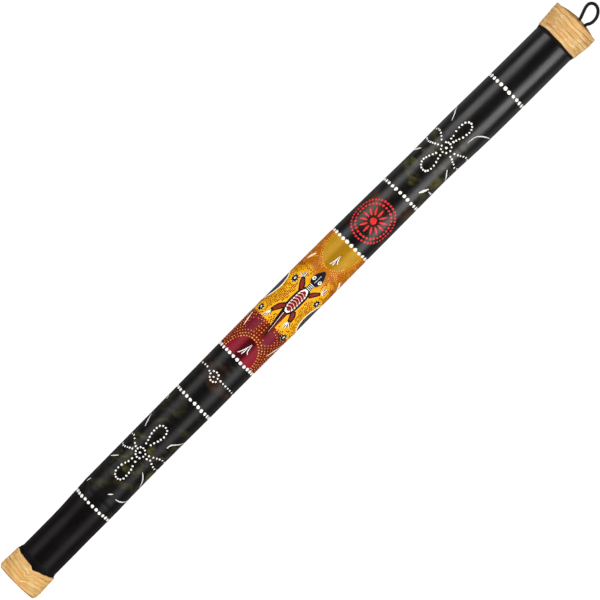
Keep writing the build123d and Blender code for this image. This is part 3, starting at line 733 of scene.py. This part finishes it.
def both(layer, kind, pts, *args, **kw):
    for half in HALVES:
        moved = [(z, p + half) for z, p in pts]
        if kind == "dot":
            layer.dot(*moved[0], *args, **kw)
        else:
            layer.stroke(moved, *args, **kw)


# a plain lizard, head up the stick; all of it as (height, x) seen from the front
def F(*pts):
    return [front(z, x) for z, x in pts]


AX = F((438, 2.0), (456, 1.5), (470, 0.4), (482, -0.2), (498, -0.8), (516, -0.8), (528, -0.6))
both(blackp, "stroke", F((440, 1.0), (452, -1.0), (463, -2.6), (474, -4.0), (481, -4.6)), [0.5, 2.6, 3.8, 4.6, 5.2], 0.10)
both(blackp, "stroke", F((438, 2.1), (453, 1.5), (467, 0.5), (481, -0.3)), [0.5, 4.4, 6.2, 8.8], 0.12, across=7)
both(darkred, "stroke", F((441, 2.6), (453, 2.3), (465, 1.8), (477.4, 1.3)), [0.6, 2.4, 3.8, 5.0], 0.20)
both(pink, "stroke", F((446, 1.3), (456.5, 0.3), (467, -0.9), (477.4, -2.0)), [0.4, 0.7, 0.9, 1.1], 0.27)


def oval(layer, z0, z1, x, w, h, across=11):
    """A rounded body of paint, fullest in the middle."""
    n = 15
    pts = [(z0 + (z1 - z0) * k / (n - 1), x) for k in range(n)]
    wide = [w * max(0.12, (1 - abs(2 * k / (n - 1) - 1) ** 3.4)) ** 0.5 for k in range(n)]
    both(layer, "stroke", F(*pts), wide, h, across=across)


oval(blackp, 476.4, 520.2, -0.8, 19.8, 0.13)
oval(bone, 478.8, 517.8, -0.8, 15.8, 0.20)
oval(rust, 481.4, 515.2, -0.8, 12.8, 0.26)
for k in range(7):  # chevrons that point to the head
    c = 484.9 + 4.3 * k
    reach = 5.6 * max(0.2, 1 - abs((c - 498.3) / 17.0) ** 3.4) ** 0.5
    both(darkred, "stroke", F((c - 1.5, -0.8 + reach), (c + 1.5, -0.8), (c - 1.5, -0.8 - reach)), [1.9, 3.0, 1.9], 0.33)
    if k < 6:
        both(pink, "stroke", F((c + 0.7, -0.8 + reach), (c + 3.7, -0.8), (c + 0.7, -0.8 - reach)), [0.7, 1.25, 0.7], 0.38)
# neck bars and head
both(blackp, "stroke", F((517.0, -0.8), (522.5, -0.7), (528.0, -0.6)), [9.8, 9.2, 9.8], 0.12, across=7)
for k in range(4):
    both(bone, "stroke", F((519.3 + 2.3 * k, -4.0), (519.3 + 2.3 * k, -0.7), (519.3 + 2.3 * k, 2.7)), [0.9, 1.35, 0.9], 0.28)
both(navy, "stroke", F((527.2, -0.5), (531.0, -0.5), (534.8, -0.5), (538.6, -0.4), (542.4, -0.3), (546.2, -0.2), (549.4, -0.1)),
     [10.5, 15.4, 16.8, 15.6, 12.2, 7.6, 2.6], 0.20, across=11)
for x in (-5.0, 4.1):  # ringed eyes
    both(bone, "dot", F((534.6, x)), 2.95, h=0.27, rv=2.5, seg=20)
    both(navy, "dot", F((534.8, x)), 1.85, h=0.36, rv=1.5, seg=16)
    both(bone, "dot", F((535.0, x)), 0.85, h=0.44)
both(bone, "stroke", F((529.2, -0.5), (536.0, -0.4), (543.0, -0.3)), [0.5, 1.0, 0.4], 0.27)
LIMBS = [  # joints, widths, claw tips
    ([(486.5, -6.0), (478.5, -11.6), (468.4, -15.4)], [8.4, 9.8, 5.0], [(455.2, -19.2), (456.6, -16.6), (459.0, -14.4), (462.6, -12.6)]),
    ([(486.5, 6.0), (480.8, 9.4), (473.0, 11.4)], [7.6, 10.2, 6.2], [(461.6, 10.2), (462.8, 13.6), (467.6, 16.4), (465.6, 8.2)]),
    ([(511.5, -6.0), (519.0, -11.0), (526.2, -15.8)], [7.8, 9.6, 5.0], [(523.0, -21.8), (527.4, -22.6), (531.4, -19.8), (534.2, -16.4)]),
    ([(512.5, 5.6), (519.0, 9.4), (525.6, 14.8)], [7.4, 8.4, 4.6], [(527.4, 19.4), (532.0, 19.2), (536.4, 16.4), (534.6, 13.2)]),
]
for bones, w, claws in LIMBS:
    q = F(*bones)
    both(blackp, "stroke", q, w, 0.14, across=7)
    tip = 0.22 * np.array(bones[1]) + 0.78 * np.array(bones[2])
    root = 0.80 * np.array(bones[0]) + 0.20 * np.array(bones[1])
    both(rust, "stroke", F(tuple(root), bones[1], tuple(tip)), [w[0] - 3.4, w[1] - 2.6, w[2] - 1.9], 0.23)
    block(q, 4.4)
    for c in claws:
        foot_at, tip = np.array(bones[2]), np.array(c)
        side = np.array([-(tip - foot_at)[1], (tip - foot_at)[0]]) * 0.05
        line_ = F(tuple(0.9 * foot_at + 0.1 * tip), tuple(0.5 * foot_at + 0.5 * tip + side), tuple(tip))
        under = [(z + 0.45, p + 0.020) for z, p in line_]
        both(blackp, "stroke", under, [2.0, 2.9, 0.7], 0.10)
        both(bone, "stroke", line_, [0.6, 1.6, 0.4], 0.22)
        block([line_[0], line_[2]], 1.5)
block(AX[:4], 3.4)
block(F((480, -0.8), (517, -0.8)), 9.4)
block(F((518, -0.7), (528, -0.6)), 5.6)
block(F((529, -0.5), (546, -0.3)), 8.2)

# four dark spots with a white eye and short rays
for z, x, tilt in ((462.2, -27.4, 0.4), (517.6, -22.4, 0.1), (454.4, 20.4, -0.5), (513.2, 20.2, -0.3)):
    (z, p), R = front(z, x), 29.5
    both(blackp, "dot", [(z, p)], 5.0, h=0.16, rv=4.7, seg=24)
    both(bone, "dot", [(z + 0.3, p)], 2.0, h=0.30, rv=1.45, seg=16)
    both(blackp, "dot", [(z + 0.5, p)], 0.75, h=0.40)
    for k in range(9):
        a = 2 * PI * k / 9 + tilt
        far = 6.3 + (0.5 if k % 3 else -0.5)
        both(blackp, "stroke",
             [(z + 3.0 * math.cos(a), p + 2.8 * math.sin(a) / R), (z + far * math.cos(a), p + far * math.sin(a) / R)],
             [2.0, 1.5, 0.3], 0.15)
        a += PI / 9
        both(cream, "stroke",
             [(z + 4.0 * math.cos(a), p + 3.8 * math.sin(a) / R), (z + 5.5 * math.cos(a), p + 5.4 * math.sin(a) / R)],
             [0.7, 0.9, 0.3], 0.17)
    block([(z, p), (z + 0.1, p)], 6.2)

# three-toed track marks in the two arches: white strokes with black between
for toes, heel, joint in (
    ([(401.0, -8.0), (402.6, -3.0), (407.2, 3.6)], (423.6, -0.8), (413.6, -1.6)),
    ([(560.8, -4.2), (561.4, -0.4), (566.6, 4.0)], (580.6, -1.6), (570.8, -0.6)),
):
    q = [F(t, tuple(0.45 * np.array(t) + 0.55 * np.array(joint)), tuple(0.25 * np.array(joint) + 0.75 * np.array(heel))) for t in toes]
    for a, b in zip(toes, toes[1:]):
        m = (0.5 * (a[0] + b[0]) + 1.6, 0.5 * (a[1] + b[1]))
        both(blackp, "stroke", F(m, tuple(0.4 * np.array(m) + 0.6 * np.array(joint)), joint), [0.8, 2.9, 1.6], 0.08)
    for k, line_ in enumerate(q):
        both(bone, "stroke", line_, [0.5, 1.55, 0.35], 0.20)
    both(blackp, "stroke", F(tuple(np.array(joint) + (-5.5, 0.2)), joint, tuple(np.array(heel) + (-1.0, 0.0))), [0.5, 1.5, 0.4], 0.23)
    block(F(toes[0], heel), 2.6)
    block(F(toes[2], heel), 2.6)

# cream edges of the dark side shapes, and the cream wedges beside them
SIDES = ((-1, 494.5, 22.4, 16.3), (1, 494.5, 22.4, 16.3))  # side, height, half length, half width
SHEAR = 0.219  # the two halves lean, one up and one down the stick
HALF_TURN = PI * 29.5
for sgn, sz, sa, sb in SIDES:
    for half in HALVES:
        pts, inside = [], []
        for k in range(21):
            a = PI * k / 20
            for out_, grow_z, grow_v in ((pts, 1.0, 0.8), (inside, -1.6, -1.1)):
                d = (sb + grow_v) * math.sin(a)
                out_.append((sz - sgn * SHEAR * d - (sa + grow_z) * math.cos(a), sgn * (HALF_TURN / 2 - d) / 29.5 + half))
        cream.stroke(pts, [1.0] + [2.2] * 4 + [2.7] * 11 + [2.2] * 4 + [1.0], 0.24, across=7)
        blackp.stroke(inside, [0.8] + [1.5] * 19 + [0.8], 0.10)
for a, b, c, w in (
    ((422.0, 21.5), (434.0, 24.2), (449.0, 26.6), 2.6), ((430.5, -26.4), (440.0, -28.4), (450.6, -30.0), 2.6),
    ((546.0, -29.2), (552.0, -28.0), (558.6, -25.6), 4.4), ((541.2, 27.0), (546.8, 25.2), (552.8, 21.6), 4.8),
):
    q = F(a, b, c)
    both(cream, "stroke", q, [0.5, w, 1.2], 0.24)
    both(bone, "stroke", [q[0], q[1], q[2]], [0.2, w * 0.4, 0.4], 0.30)
    block(q, 2.0)
both(navy, "stroke", F((540.0, 29.0), (545.0, 28.2), (549.5, 26.4)), [0.5, 2.6, 0.5], 0.20)


def blocked(z, v, pad):
    v = (v + HALF_TURN / 2) % HALF_TURN - HALF_TURN / 2
    for kz, kv, r in keep_out:
        if abs(z - kz) > r + pad:
            continue
        for turn in (-HALF_TURN, 0, HALF_TURN):
            if (z - kz) ** 2 + (v - kv - turn) ** 2 < (r + pad) ** 2:
                return True
    return False


def contour(cz, cv, az, av, gap, spacing):
    """Evenly spaced points on an ellipse pushed out by gap."""
    a = np.linspace(0, 2 * PI, 900)
    pts = np.stack([cz + (az + gap) * np.cos(a), cv + (av + gap) * np.sin(a)], -1)
    q, _ = resample(pts, spacing)
    return q[:-1]


placed = []


def free(z, v, gap):
    for kz, kv in placed:
        if abs(kz - z) < gap and (kz - z) ** 2 + (kv - v) ** 2 < gap * gap:
            return False
    return True


def scatter(layer, pts, lo, hi, r, test=None, gap=1.35, jit=0.12, h=None, pad=0.5):
    for z, v in pts:
        z, v = z + j(jit), v + j(jit)
        if not lo < z < hi or abs(v) > HALF_TURN / 2 or (test and not test(z, v)):
            continue
        if blocked(z, v, pad) or not free(z, v, gap):
            continue
        placed.append((z, v))
        rr = r * rnd.uniform(0.82, 1.15)
        for half in HALVES:
            layer.dot(z, v / 29.5 + half, rr, h=h or 0.26)


def in_side(z, v, grow=0.0):
    for sgn, sz, sa, sb in SIDES:
        if v * sgn > 0 and ((z - sz + sgn * SHEAR * (HALF_TURN / 2 - abs(v))) / (sa + grow)) ** 2 + ((abs(v) - HALF_TURN / 2) / (sb + grow)) ** 2 < 1:
            return True
    return False


ARCH1 = (394.4, -0.5, 32.0, 24.6)
ARCH2 = (596.0, -0.7, 41.6, 26.2)


def in_arch(arch, z, v, grow=0.0):
    return ((z - arch[0]) / (arch[2] + grow)) ** 2 + ((v - arch[1]) / (arch[3] + grow)) ** 2 < 1


# red field: rows that echo the arch; bright edge rows first
scatter(amber, contour(*ARCH1, 0.6, 3.8), 397.5, 455, 1.05, gap=2.2)
scatter(amber, [(454.6, v) for v in np.arange(-HALF_TURN / 2, HALF_TURN / 2, 3.6)], 396, 456, 0.85, gap=2.2)

def in_patch(z, v, k):
    return min(((z - 440.5) / 12.4) ** 2 + ((v + 17.0) / 9.2) ** 2, ((z - 440.5) / 12.4) ** 2 + ((v - 13.5) / 9.2) ** 2) < k


for n_, gap in enumerate(np.arange(4.4, 46, 4.4)):
    scatter(amber, contour(*ARCH1, gap, 4.0), 397.5, 453.6, 0.95 if gap < 8 else 0.84, jit=0.25, gap=2.2, pad=0.2,
            test=lambda z, v: not in_patch(z, v, 0.55))
for gap in np.arange(4.4, 46, 2.2):
    scatter(salmon, contour(*ARCH1, gap + 1.1, 3.2), 397.5, 453.6, 0.46, jit=0.25, gap=1.6, pad=0.3,
            test=lambda z, v: not in_patch(z, v, 0.42))
# yellow field: rows that echo the dark side shapes
for gap in np.arange(3.8, 44, 2.5):
    for sgn, sz, sa, sb in SIDES:
        pts = [(z - sgn * SHEAR * max(0.0, HALF_TURN / 2 - abs(v)), v) for z, v in contour(sz, sgn * HALF_TURN / 2, sa, sb, gap, 2.35)]
        scatter(tang, pts, 457.0, 540.0, 0.94, jit=0.26, gap=2.05, pad=1.9,
                test=lambda z, v: not in_arch(ARCH2, z, v, 5.0) and not in_side(z, v, 2.6))
# orange field and the ochre arch's edge
scatter(gold, contour(*ARCH2, 0.2, 3.1), 538, 592.5, 0.92, gap=2.0)
for gap in np.arange(3.2, 34, 2.7):
    scatter(gold, contour(*ARCH2, gap, 2.9), 536.0, 593.0, 0.74, jit=0.20, gap=1.9,
            test=lambda z, v: not in_side(z, v, 2.0))
    scatter(tang, contour(*ARCH2, gap + 1.35, 2.7), 536.0, 593.0, 0.52, jit=0.20, gap=1.55,
            test=lambda z, v: not in_side(z, v, 2.0))

# ------------------------------------------------------------------ red sun motif
cz = 637.0
R = radius_at(cz)
for half in HALVES:
    _, c = front(cz, -3.1)
    c += half
    red.dot(cz, c, 4.4, h=0.22, seg=28)
    for k in range(12):
        a = 2 * PI * k / 12
        pts = [(cz + r * math.cos(a), c + r * math.sin(a) / R) for r in (7.6, 12.6, 18.6)]
        red.stroke(pts, [1.4, 3.6, 0.5], 0.20, across=7)
    for r0, n, size in ((23.0, 30, 1.75), (28.6, 40, 1.60)):
        for k in range(n):
            a = 2 * PI * (k + 0.5 * (r0 > 25)) / n
            red.dot(cz + r0 * math.cos(a) + j(0.15), c + (r0 * math.sin(a) + j(0.15)) / R, size * rnd.uniform(0.9, 1.08), h=0.30)

for layer in (white, leaf, cream, amber, tang, gold, salmon, blackp, navy, rust, darkred, red, bone, pink):
    layer.make()

# ------------------------------------------------------------------ rattan bindings


def wound(name, z_outer, z_inner, radius, turns, seam, mat, node, seed, thick=1.55, jog=0.30, lump=None):
    """One flat strip wound side by side, with a short jog at the seam where it moves on
    to the next row. Fraction 0 is the stick's end, 1 the culm's side."""
    rng = np.random.RandomState(seed)
    per = 160
    full = 2 * PI * turns + jog
    theta = np.linspace(0, full, int(per * turns) + 9)

    def row(t):  # where the edge laid at winding angle t runs, in strip widths
        i = np.floor(t / (2 * PI))
        a = np.clip((t - 2 * PI * i) / jog, 0, 1)
        return np.clip(i + a * a * (3 - 2 * a), 0, turns) / turns

    lo, hi = row(theta - 2 * PI + 1e-9), row(theta)
    lo[theta < 2 * PI] = 0.0
    hi = np.maximum(hi, lo + 0.004)
    phi = seam + theta
    turn = theta / (2 * PI)
    which = np.floor(turn)

    def drift(k, low, high):
        amp, frq, phs = rng.uniform(0.4, 1, k), rng.uniform(low, high, k), rng.uniform(0, 6.3, k)
        return (amp[:, None] * np.sin(frq[:, None] * theta + phs[:, None])).sum(0) / k

    lift = 0.26 * drift(7, 0.3, 4.0)
    gap_lo = np.clip(0.11 * drift(8, 0.4, 6.0) - 0.012, 0.001, 0.075)
    gap_hi = np.clip(0.11 * drift(8, 0.4, 6.0) - 0.012, 0.001, 0.075)
    # painted shade in random stretches of the seams between rows
    seam_shade_lo = np.clip(drift(9, 0.5, 7.0) * 4.2 - 0.45, 0, 1)
    seam_shade_hi = np.clip(drift(9, 0.5, 7.0) * 4.2 - 0.45, 0, 1)
    rows = 15
    c = np.linspace(0, 1, rows)
    u = 2 * c - 1
    V, A = [], []
    zo, zi_ = z_outer(phi), z_inner(phi)
    for m in range(len(theta)):
        wide = hi[m] - lo[m]
        f = lo[m] + (gap_lo[m] + c * (1 - gap_lo[m] - gap_hi[m])) * wide
        z = zo[m] + (zi_[m] - zo[m]) * f
        z = z + 0.55 * np.sin(3 * phi[m] + 1.3 * seed) * np.sin(PI * f) + 0.32 * np.sin(8 * phi[m] + 2.1 * seed) * np.sin(2 * PI * f)
        ribs = 0.030 * np.sin(13 * c * PI + 0.5 * np.sin(2.1 * theta[m]) + 2 * which[m]) + 0.018 * np.sin(23 * c * PI + theta[m])
        h = thick * (0.83 + 0.17 * (1 - np.abs(u) ** 4.0)) + ribs + lift[m] + 0.10 * u * np.sin(1.7 * theta[m] + which[m])
        base = radius(f)
        if lump is not None:
            h = h + lump(phi[m], f)
        r = base + h
        V.append(np.concatenate([
            np.stack([r * np.sin(phi[m]), -r * np.cos(phi[m]), z], -1),
            np.stack([(base[[-1, 0]] - 0.02) * np.sin(phi[m]), -(base[[-1, 0]] - 0.02) * np.cos(phi[m]), z[[-1, 0]]], -1)]))
        across = np.concatenate([c, c[[-1, 0]]]) * 5.3
        A.append(np.stack([np.full(rows + 2, theta[m] * 30.0), across, np.full(rows + 2, turn[m] * 1.0)], -1))
    V = np.array(V)
    n, m = len(theta) - 1, rows + 2
    faces = []
    for p in range(n):
        for q in range(m):
            s = (q + 1) % m
            faces.append((p * m + q, p * m + s, (p + 1) * m + s, (p + 1) * m + q))
    faces.append(tuple(range(m))[::-1])
    faces.append(tuple(n * m + q for q in range(m)))
    if zo.mean() > zi_.mean():
        faces = [f[::-1] for f in faces]
    ob = add_mesh(name, V.reshape(-1, 3) * 0.001, faces, mat, replaces=(node,))
    s = np.zeros((n + 1, m))
    # painted shade: darker towards each strip's edges, in the seams' shaded stretches, and on the strips' sides that
    # face the seams
    s[:, :rows] = (0.10 * np.abs(u) ** 3 + 0.20 * np.abs(u) ** 12)[None, :]
    s[:, :rows] += 0.65 * seam_shade_lo[:, None] * np.exp(-((c / 0.055) ** 2))[None, :] + 0.65 * seam_shade_hi[:, None] * np.exp(-(((1 - c) / 0.055) ** 2))[None, :]
    s[:, rows:] = 0.75
    end = (theta < 2 * PI) & (zo.mean() < 100)  # painted shade: a dark line along the lower binding's bottom rim, on its first turn
    s[end, :rows] += (0.80 * np.exp(-((c / 0.22) ** 2)))[None, :]
    shade = ob.data.attributes.new("shade", "FLOAT", "POINT")
    shade.data.foreach_set("value", np.clip(s, 0, 1).astype(np.float32).ravel())
    fibre = ob.data.attributes.new("fibre", "FLOAT_VECTOR", "POINT")
    fibre.data.foreach_set("vector", np.array(A, np.float32).ravel())
    return ob


def bump_at(phi, centre, width):
    d = (phi - centre + PI) % (2 * PI) - PI
    return np.exp(-((d / width) ** 2))


B_EDGE = np.array([
    (-2.6, 34.6), (-1.9, 34.3), (-1.26, 33.7), (-0.8, 31.7), (-0.415, 30.5), (-0.06, 30.1), (0.05, 27.6), (0.10, 26.9),
    (0.30, 29.6), (0.45, 31.0), (0.81, 33.6), (1.31, 37.0), (1.9, 36.0), (2.6, 34.9), (2.6 + 1.08, 34.6),
])


def b_edge(p):
    q = (np.asarray(p, float) + 2.6) % (2 * PI) - 2.6
    return hermite(q, B_EDGE[:, 0], B_EDGE[:, 1]) + 0.22 * np.sin(9 * p) + 0.12 * np.sin(17 * p + 1)


wound(
    "rattan_binding_bottom",
    lambda p: 0.35 + 0.20 * np.sin(2 * p + 1),
    b_edge,
    lambda f: 29.35 - 2.3 * np.clip(1 - f / 0.16, 0, 1) ** 1.8 - 0.75 * np.clip((f - 0.30) / 0.70, 0, 1) + 0.25 * np.exp(-(((f - 0.35) / 0.16) ** 2)),
    6, 0.02, M_RATTAN_B, "rattan_strip_bottom", 3,
)
wound(
    "rattan_binding_top",
    lambda p: 994.7 + 0.25 * np.sin(p + 2.5) - 1.3 * np.clip(np.cos(p), 0, 1) ** 2,
    lambda p: 959.2 + 0.7 * np.cos(p + 0.4) - 0.4 * np.sin(3 * p) + 0.25 * np.sin(7 * p),
    lambda f: 32.05 - 2.35 * f - 0.15 * np.clip((f - 0.90) / 0.10, 0, 1) ** 2 + 0.25 * np.exp(-(((f - 0.28) / 0.16) ** 2)),
    6, 2.6, M_RATTAN_T, "rattan_strip_top", 8, thick=1.55,
    lump=lambda p, f: 1.0 * np.exp(-(((f - 0.42) / 0.24) ** 2)) * np.clip(np.cos(p - 1.45), 0, 1) ** 2,
)

# loose fibres that have lifted from the bindings
fib = np.random.RandomState(17)
fv, ff, nb = [], [], 0
for where, r_at in (((3, 32), 30.45), ((962, 992), 32.6)):
    for _ in range(26):
        z0, p0 = fib.uniform(*where), fib.uniform(-PI, PI)
        length, lift = fib.uniform(0.10, 0.42), fib.uniform(0.10, 0.55)
        dz = fib.uniform(-1.4, 1.4)
        n = 9
        t = np.linspace(0, 1, n)
        phi = p0 + length * t
        z = z0 + dz * t * t
        r = r_at - 0.10 + lift * t ** 2
        rad = 0.13 * (1 - 0.85 * t) + 0.015
        for q in range(n):
            for s in range(5):
                a = 2 * PI * s / 5
                rr = r[q] + rad[q] * math.cos(a)
                fv.append((rr * math.sin(phi[q]) * 0.001, -rr * math.cos(phi[q]) * 0.001, (z[q] + rad[q] * math.sin(a)) * 0.001))
        for q in range(n - 1):
            for s in range(5):
                k = (s + 1) % 5
                ff.append((nb + q * 5 + s, nb + q * 5 + k, nb + (q + 1) * 5 + k, nb + (q + 1) * 5 + s))
        ff.append(tuple(nb + s for s in range(5))[::-1])
        ff.append(tuple(nb + (n - 1) * 5 + s for s in range(5)))
        nb += n * 5
fibres = add_mesh("loose_rattan_fibres", fv, ff, M_FIBRE)

# ------------------------------------------------------------------ floor, world, lights
floor_me = bpy.data.meshes.new("floor")
S = 3.0
floor_me.from_pydata([(-S, -S, -0.0002), (S, -S, -0.0002), (S, S, -0.0002), (-S, S, -0.0002)], [], [(0, 1, 2, 3)])
floor = bpy.data.objects.new("floor", floor_me)
scene.collection.objects.link(floor)
fm = bpy.data.materials.new("floor_white")
fm.use_nodes = True
fb = fm.node_tree.nodes["Principled BSDF"]
fb.inputs["Base Color"].default_value = (0.35, 0.35, 0.35, 1)
fb.inputs["Roughness"].default_value = 0.9
fb.inputs["Specular IOR Level"].default_value = 0.0
fb.inputs["Emission Color"].default_value = (1, 1, 1, 1)
fb.inputs["Emission Strength"].default_value = 1.02
floor_me.materials.append(fm)
floor.visible_glossy = False

world = bpy.data.worlds.new("studio")
scene.world = world
world.use_nodes = True
wt = world.node_tree
wt.nodes.clear()
lp = wt.nodes.new("ShaderNodeLightPath")
seen = wt.nodes.new("ShaderNodeBackground")
seen.inputs["Color"].default_value = (1, 1, 1, 1)
seen.inputs["Strength"].default_value = 1.05
room = wt.nodes.new("ShaderNodeBackground")
room.inputs["Color"].default_value = (1.0, 0.98, 0.96, 1)
room.inputs["Strength"].default_value = 0.045
mixw = wt.nodes.new("ShaderNodeMixShader")
wo = wt.nodes.new("ShaderNodeOutputWorld")
wt.links.new(lp.outputs["Is Camera Ray"], mixw.inputs[0])
wt.links.new(room.outputs[0], mixw.inputs[1])
wt.links.new(seen.outputs[0], mixw.inputs[2])
wt.links.new(mixw.outputs[0], wo.inputs["Surface"])


def softbox(name, azimuth, dist, z, width, height, radiance, shine=True, over=False):
    """A soft light at an azimuth from the camera's direction, turned to the stick."""
    a = math.radians(azimuth)
    data = bpy.data.lights.new(name, "AREA")
    data.shape = "RECTANGLE"
    data.size, data.size_y = width, height
    data.energy = radiance * PI * width * height
    ob = bpy.data.objects.new(name, data)
    scene.collection.objects.link(ob)
    at = Vector((dist * math.sin(a), -dist * math.cos(a), z))
    aim = Vector((0, 0, 0.5 if over else z)) - at
    zax = -aim.normalized()
    xax = Vector((0, 0, 1)).cross(zax)
    xax = xax.normalized() if xax.length > 0.05 else Vector((1, 0, 0))
    yax = zax.cross(xax)
    ob.matrix_world = Matrix(((xax.x, yax.x, zax.x, at.x), (xax.y, yax.y, zax.y, at.y), (xax.z, yax.z, zax.z, at.z), (0, 0, 0, 1)))
    ob.visible_camera = False
    ob.visible_glossy = shine


for sgn in (-1, 1):
    for z, left, right in ((0.02, 0.55, 0.50), (0.32, 1.4, 1.35), (0.62, 1.8, 2.8), (0.92, 3.2, 5.2), (1.22, 4.8, 6.2)):
        softbox(f"strip_{sgn}_{int(z * 100)}", sgn * 54, 1.7, z, 1.05, 0.3, left if sgn < 0 else right)
    for z, level in ((0.15, 0.10), (0.60, 0.20), (1.05, 0.36)):
        softbox(f"rim_{sgn}_{int(z * 100)}", sgn * 128, 1.7, z, 1.5, 0.45, level)
    softbox(f"fill_light_{sgn}", sgn * 38, 2.2, 0.55, 1.6, 1.1, 2.2, shine=False)
softbox("overhead", 0, 0.9, 2.2, 1.0, 1.0, 2.7, shine=False, over=True)

scene.view_settings.view_transform = "Standard"
scene.view_settings.look = "None"
scene.view_settings.exposure = 0.0
scene.view_settings.gamma = 1.0
